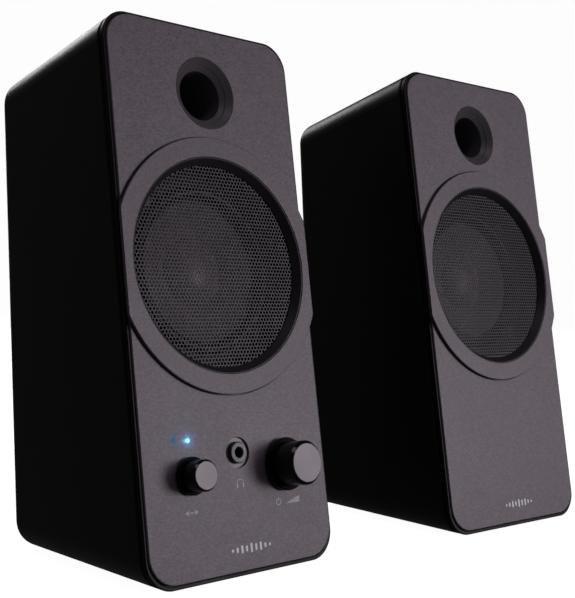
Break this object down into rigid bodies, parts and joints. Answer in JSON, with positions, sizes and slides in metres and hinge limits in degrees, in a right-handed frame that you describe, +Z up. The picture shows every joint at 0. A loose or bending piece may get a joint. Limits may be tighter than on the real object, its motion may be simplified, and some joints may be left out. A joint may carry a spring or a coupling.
{
  "type": "desktop speakers",
  "caption": "Pair of black desktop speakers with tall leaning fronts, a round grille over the driver, a bass port above, and knobs and a headphone jack on the nearer one.",
  "frame": {"origin": "on the surface the feet stand on, under the middle of the pair's bounding box", "axes": "+Z up, +X from the speaker with the controls to the other, fronts facing -Y"},
  "size_m": [0.2492, 0.123, 0.2077],
  "materials": {
    "cabinet_black": "moulded black plastic, smooth satin",
    "baffle_black": "moulded black plastic, satin",
    "plate_charcoal": "fine-grained matte charcoal",
    "ring_charcoal": "fine-grained matte charcoal",
    "grille_metal": "grey-black painted perforated steel",
    "port_charcoal": "satin charcoal",
    "basket_steel": "black painted pressed steel",
    "motor_steel": "zinc-plated steel",
    "ferrite": "sintered ferrite",
    "spider_cloth": "varnished cloth",
    "surround_rubber": "soft black rubber",
    "cone_paper": "dark pressed paper",
    "cap_grey": "grey moulded cap, satin",
    "copper": "lacquered copper wire",
    "panel_black": "moulded black plastic, fine texture",
    "screw_black": "blackened steel",
    "foot_rubber": "black rubber",
    "knob_black": "gloss black plastic",
    "knob_face_grey": "satin light grey",
    "shaft_metal": "machined aluminium",
    "control_body": "moulded plastic",
    "jack_black": "smooth black plastic",
    "washer_grey": "satin grey",
    "board_green": "lacquered circuit board",
    "sink_aluminium": "plain extruded aluminium",
    "capacitor_sleeve": "shrunk plastic sleeve",
    "core_iron": "varnished laminations",
    "pin_nickel": "nickel-plated",
    "led_lens": "clear lens, lit cold white"
  },
  "bodies": {
    "speakers": {"active_cabinet": "cabinet_black", "active_baffle": "baffle_black", "active_front_plate": "plate_charcoal", "active_trim_ring": "ring_charcoal", "active_grille_ring": "ring_charcoal", "active_grille": "grille_metal", "active_port_tube": "port_charcoal", "active_driver_basket": "basket_steel", "active_top_plate": "motor_steel", "active_magnet": "ferrite", "active_pole_piece": "motor_steel", "active_spider": "spider_cloth", "active_surround": "surround_rubber", "active_rear_panel": "panel_black", "passive_cabinet": "cabinet_black", "passive_baffle": "baffle_black", "passive_front_plate": "plate_charcoal", "passive_trim_ring": "ring_charcoal", "passive_grille_ring": "ring_charcoal", "passive_grille": "grille_metal", "passive_port_tube": "port_charcoal", "passive_driver_basket": "basket_steel", "passive_top_plate": "motor_steel", "passive_magnet": "ferrite", "passive_pole_piece": "motor_steel", "passive_spider": "spider_cloth", "passive_surround": "surround_rubber", "passive_rear_panel": "panel_black", "driver_screws": "screw_black", "baffle_screws": "screw_black", "rear_panel_screws": "screw_black", "feet": "foot_rubber", "volume_control": "control_body", "mode_switch": "control_body", "headphone_jack": "jack_black", "headphone_washer": "washer_grey", "control_board": "board_green", "amplifier_board": "board_green", "heat_sink": "sink_aluminium", "filter_capacitors": "capacitor_sleeve", "transformer_core": "core_iron", "transformer_coil": "copper", "mains_inlet": "jack_black", "inlet_pins": "pin_nickel", "line_in_jack": "jack_black", "indicator_leds": "led_lens", "speaker_sockets": "pin_nickel"},
    "active_cone": {"active_cone": "cone_paper", "active_dust_cap": "cap_grey", "active_voice_coil": "copper"},
    "passive_cone": {"passive_cone": "cone_paper", "passive_dust_cap": "cap_grey", "passive_voice_coil": "copper"},
    "volume": {"volume_knob": "knob_black", "volume_knob_face": "knob_face_grey", "volume_shaft": "shaft_metal"},
    "mode": {"mode_knob": "knob_black", "mode_knob_face": "knob_face_grey", "mode_shaft": "shaft_metal"}
  },
  "joints": [
    {"name": "active_cone_slide", "type": "slide", "parent": "speakers", "child": "active_cone", "axis": [0, -0.9851, 0.1719], "range_m": [-0.003, 0.003], "stiffness_N_per_m": 2000, "deforming": ["active_surround", "active_spider"]},
    {"name": "passive_cone_slide", "type": "slide", "parent": "speakers", "child": "passive_cone", "axis": [-0.0452, -0.9841, 0.1719], "range_m": [-0.003, 0.003], "stiffness_N_per_m": 2000, "deforming": ["passive_surround", "passive_spider"]},
    {"name": "volume_turn", "type": "hinge", "parent": "speakers", "child": "volume", "pos_m": [-0.05649, -0.04059, 0.03902], "axis": [0, -0.9851, 0.1719], "range_deg": [-150, 150]},
    {"name": "mode_turn", "type": "hinge", "parent": "speakers", "child": "mode", "pos_m": [-0.10269, -0.04059, 0.03902], "axis": [0, -0.9851, 0.1719], "range_deg": [-30, 30]}
  ]
}
